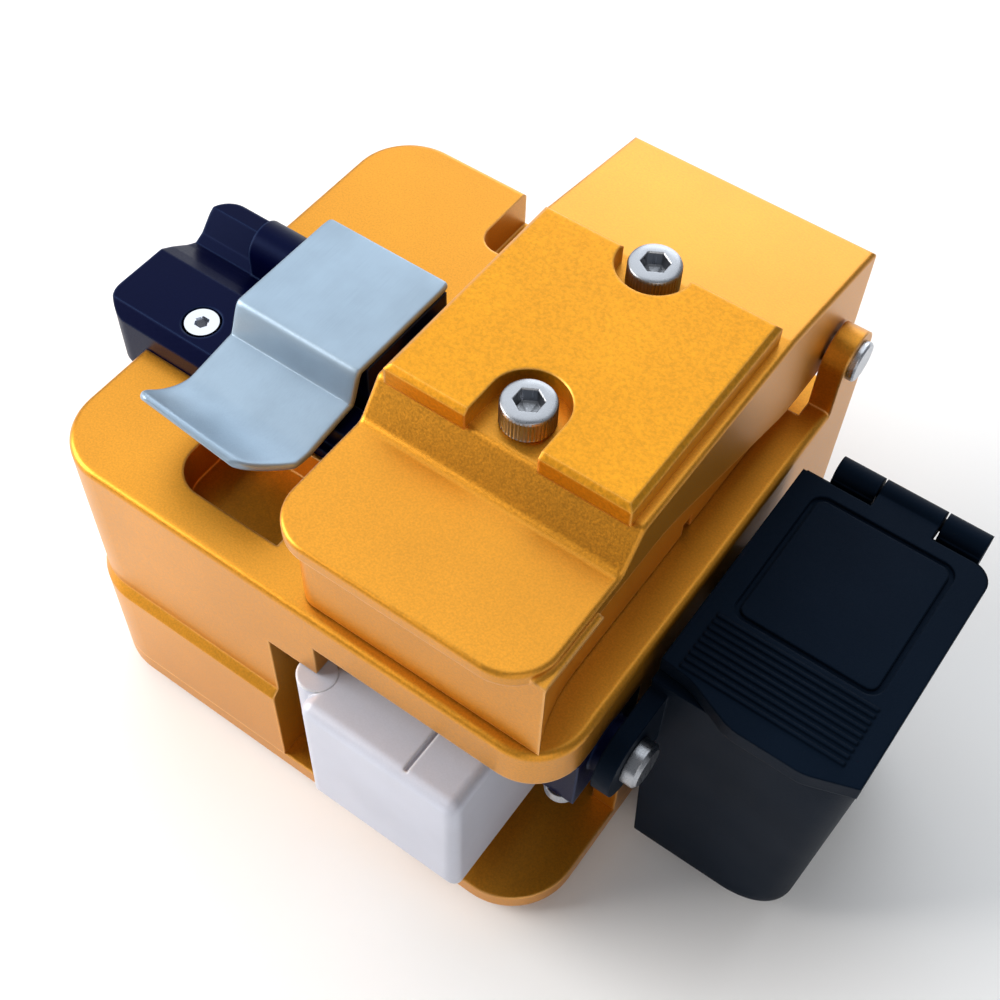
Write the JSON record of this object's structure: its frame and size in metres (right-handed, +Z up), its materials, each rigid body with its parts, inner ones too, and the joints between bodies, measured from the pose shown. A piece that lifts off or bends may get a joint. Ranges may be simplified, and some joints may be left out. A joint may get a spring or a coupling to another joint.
{
  "type": "fibre cleaver",
  "caption": "Bench fibre cleaver: hinged clamp lid over a push-in blade carriage, a clamped fibre adapter at the left and a swing-out bin for off-cuts.",
  "frame": {"origin": "on the ground, at the middle of the non-slip pad's bottom face and of the base above it", "axes": "+X to the right along the fibre, +Y to the back along the blade's travel, +Z up"},
  "size_m": [0.0935, 0.066, 0.0615],
  "materials": {
    "gold_anodised": "bead-blasted satin anodise",
    "deep_gold_anodised": "grained anodise",
    "clear_anodised": "satin clear anodise",
    "black_anodised": "satin black anodise",
    "steel": "ground",
    "spring_steel": "polished spring sheet",
    "screw_steel": "bright zinc",
    "carbide": "ground hard metal",
    "black_plastic": "satin moulded",
    "magnet_nickel": "nickel plated",
    "black_rubber": "matt",
    "pale_rubber": "matt"
  },
  "bodies": {
    "base": {"base_housing": "gold_anodised", "bottom_plate": "gold_anodised", "base_pad": "black_rubber", "lower_clamp_left": "clear_anodised", "lower_clamp_right": "clear_anodised", "lower_pad_left": "pale_rubber", "lower_pad_right": "pale_rubber", "deck_magnet": "magnet_nickel", "hinge_shaft": "steel", "shaft_ring": "steel", "fibre_adapter": "black_anodised", "adapter_screws": "screw_steel", "adapter_magnet": "magnet_nickel", "clamp_pin": "steel", "linear_rail": "steel", "rail_screws": "screw_steel", "bottom_plate_screws": "screw_steel", "spring_rod": "steel", "bin_bracket": "black_anodised", "bin_pivot_screw": "screw_steel", "bin_rest_pin": "steel", "bracket_screws": "screw_steel", "return_spring": "steel"},
    "lid": {"lid": "gold_anodised", "lid_cover": "deep_gold_anodised", "cover_screw_front": "screw_steel", "cover_screw_rear": "screw_steel", "press_carrier": "clear_anodised", "lid_magnet": "magnet_nickel", "press_spring_left": "steel", "press_spring_right": "steel", "anvil_spring": "steel"},
    "press_yoke": {"press_yoke": "clear_anodised", "press_pad_left": "pale_rubber", "press_pad_right": "pale_rubber"},
    "anvil": {"anvil_rod": "steel", "anvil_tip": "pale_rubber"},
    "adapter_clamp": {"clamp_body": "black_anodised", "clamp_lever": "spring_steel", "clamp_pad": "black_rubber", "clamp_keeper": "magnet_nickel"},
    "carriage": {"carriage_handle": "clear_anodised", "slider_block": "clear_anodised", "handle_screws": "screw_steel", "bearing_block": "steel", "blade_arm": "clear_anodised", "blade_screw": "screw_steel", "height_screw": "steel"},
    "blade": {"blade_wheel": "carbide"},
    "bin": {"bin_body": "black_plastic", "bin_door_pin": "steel"},
    "bin_door": {"bin_door": "black_plastic"}
  },
  "joints": [
    {"name": "lid_hinge", "type": "hinge", "parent": "base", "child": "lid", "pos_m": [0.0145, 0.0255, 0.0465], "axis": [-1, 0, 0], "range_deg": [0, 95]},
    {"name": "press_yoke_slide", "type": "slide", "parent": "lid", "child": "press_yoke", "axis": [0, 0, 1], "range_m": [0, 0.0006], "stiffness_N_per_m": 600, "springref_m": -0.001, "deforming": ["press_spring_left", "press_spring_right"]},
    {"name": "anvil_slide", "type": "slide", "parent": "lid", "child": "anvil", "axis": [0, 0, 1], "range_m": [0, 0.001], "stiffness_N_per_m": 300, "springref_m": -0.001, "deforming": ["anvil_spring"]},
    {"name": "adapter_clamp_hinge", "type": "hinge", "parent": "base", "child": "adapter_clamp", "pos_m": [-0.0145, 0.0027, 0.0443], "axis": [-1, 0, 0], "range_deg": [0, 90]},
    {"name": "carriage_slide", "type": "slide", "parent": "base", "child": "carriage", "axis": [0, 1, 0], "range_m": [0, 0.022], "stiffness_N_per_m": 60, "springref_m": -0.01, "deforming": ["return_spring"]},
    {"name": "blade_index", "type": "hinge", "parent": "carriage", "child": "blade", "pos_m": [0.0145, -0.011, 0.03475], "axis": [1, 0, 0], "continuous": true},
    {"name": "bin_swing", "type": "hinge", "parent": "base", "child": "bin", "pos_m": [0.0345, -0.0205, 0.0325], "axis": [1, 0, 0], "range_deg": [0, 60]},
    {"name": "bin_door_hinge", "type": "hinge", "parent": "bin", "child": "bin_door", "pos_m": [0.0445, 0.0172, 0.0395], "axis": [-1, 0, 0], "range_deg": [0, 110]}
  ]
}
